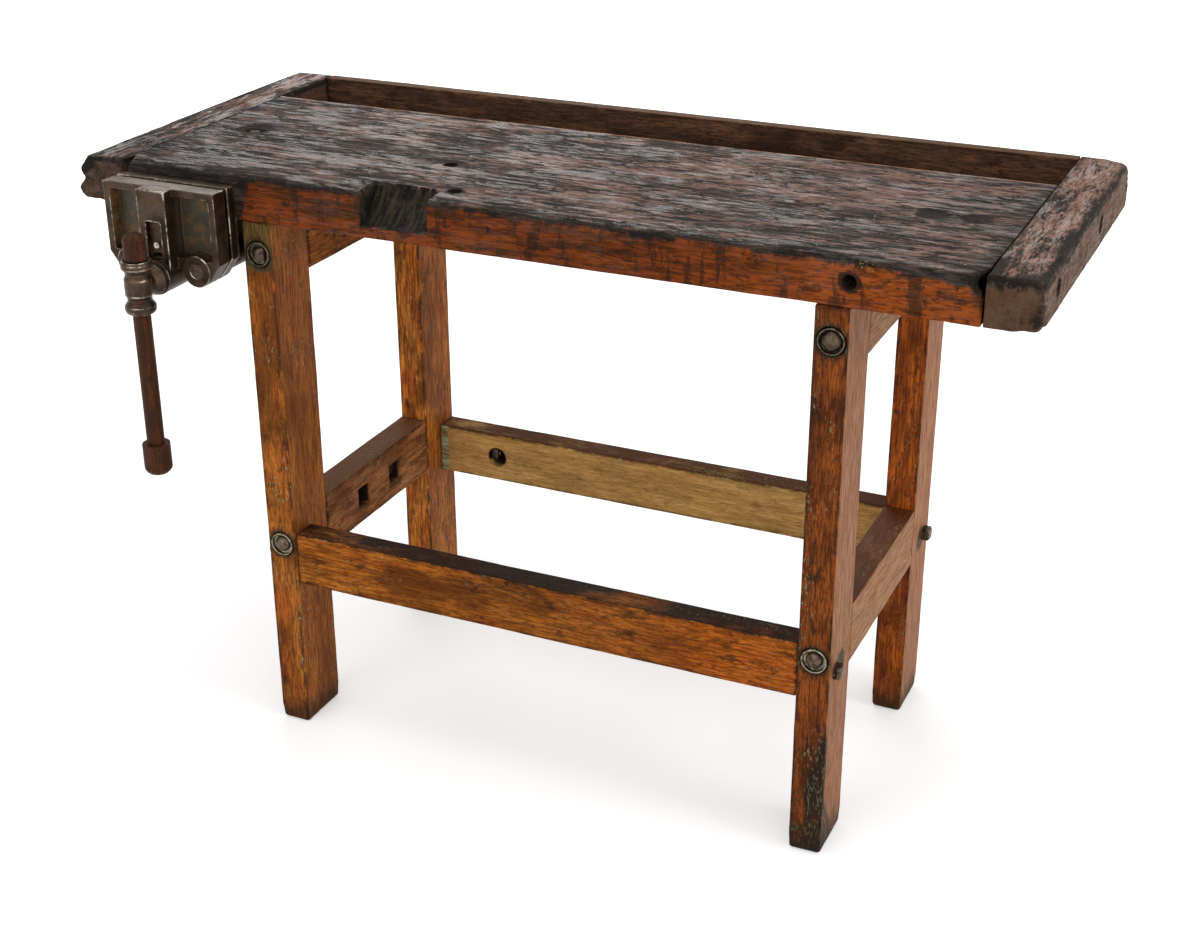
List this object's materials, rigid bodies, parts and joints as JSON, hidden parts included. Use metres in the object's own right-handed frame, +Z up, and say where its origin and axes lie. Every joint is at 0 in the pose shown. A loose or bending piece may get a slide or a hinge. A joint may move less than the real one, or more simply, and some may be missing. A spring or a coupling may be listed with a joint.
{
  "type": "woodworking bench",
  "caption": "Joiner's bench: worn slab with end caps, open tool trough, bolted leg frame, and an iron screw vise with guide rods and sliding handle at the front left.",
  "frame": {"origin": "centre of the bounding box at rest, on the floor under the legs", "axes": "+X to the right along the bench, seen from the vise side; +Y to the back, away from the vise; +Z up"},
  "size_m": [1.318, 0.6682, 0.838],
  "materials": {
    "slab_wood": "worn dark maple, half gloss on top, orange-brown front edge",
    "cap_wood": "worn dark wood with pinkish-brown patches",
    "trough_wood": "dark stained wood",
    "board_wood": "dark stained wood, orange-brown worn top edge",
    "leg_wood": "old orange-brown varnish with dark stains and paint flecks",
    "rail_wood": "old orange-brown varnish, dark dusty top faces",
    "handle_wood": "dark red-brown, polished by hands",
    "vise_iron": "dark brown-grey, bright at worn edges",
    "vise_steel": "dull machined steel, dark oil film",
    "bolt_steel": "dark old steel",
    "cup_metal": "pale tarnished rim, dirty inside",
    "screw_steel": "dull steel",
    "spring_steel": "dark blued steel"
  },
  "bodies": {
    "bench": {"bench_top_slab": "slab_wood", "left_end_cap": "cap_wood", "right_end_cap": "cap_wood", "trough_floor": "trough_wood", "trough_back_board": "board_wood", "front_left_leg": "leg_wood", "front_right_leg": "leg_wood", "rear_left_leg": "leg_wood", "rear_right_leg": "leg_wood", "left_upper_rail": "rail_wood", "right_upper_rail": "rail_wood", "left_lower_rail": "rail_wood", "right_lower_rail": "rail_wood", "front_stretcher": "leg_wood", "rear_stretcher": "leg_wood", "rail_bolts": "bolt_steel", "rail_bolt_cup_washers": "cup_metal", "rail_bolt_nuts": "bolt_steel", "stretcher_bolts": "bolt_steel", "stretcher_bolt_washers": "bolt_steel", "stretcher_bolt_nuts": "bolt_steel", "end_cap_bolts": "bolt_steel", "end_cap_bolt_washers": "bolt_steel", "end_cap_bolt_nuts": "bolt_steel", "end_cap_lag_screws": "bolt_steel", "top_lag_screws": "bolt_steel", "back_board_screws": "screw_steel", "trough_floor_screws": "screw_steel", "vise_rear_jaw": "vise_iron", "vise_nut": "vise_iron", "vise_nut_set_screw": "bolt_steel", "vise_mounting_lag_screws": "bolt_steel", "rear_jaw_wood_screws": "screw_steel", "vise_hanger_bolt": "bolt_steel", "vise_hanger_nut": "bolt_steel"},
    "front_jaw": {"vise_front_jaw": "vise_iron", "left_guide_rod": "vise_steel", "right_guide_rod": "vise_steel", "guide_rod_pins": "bolt_steel", "guide_rod_nuts": "bolt_steel", "guide_rod_yoke": "vise_iron"},
    "screw": {"vise_screw": "vise_steel", "thrust_collar": "vise_steel", "thrust_collar_pin": "bolt_steel", "handle_socket": "vise_iron", "handle_socket_pin": "bolt_steel"},
    "handle": {"handle_rod": "handle_wood", "handle_top_knob": "handle_wood", "handle_bottom_knob": "handle_wood", "handle_knob_pins": "screw_steel"},
    "dog": {"jaw_dog": "vise_iron", "jaw_dog_spring": "spring_steel", "jaw_dog_screw": "screw_steel"}
  },
  "joints": [
    {"name": "jaw_slide", "type": "slide", "parent": "bench", "child": "front_jaw", "axis": [0, -1, 0], "range_m": [-0.00636, 0.20321]},
    {"name": "screw_spin", "type": "hinge", "parent": "front_jaw", "child": "screw", "pos_m": [-0.499, -0.31328, 0.704], "axis": [0, -1, 0], "range_deg": [-360, 11520]},
    {"name": "handle_slide", "type": "slide", "parent": "screw", "child": "handle", "axis": [0, 0, 1], "range_m": [0, 0.19]},
    {"name": "dog_slide", "type": "slide", "parent": "front_jaw", "child": "dog", "axis": [0, 0, 1], "range_m": [0, 0.025]}
  ],
  "couplings": [
    {"joint": "jaw_slide", "follows": "screw_spin", "m_per_rad": 0.0010106}
  ]
}
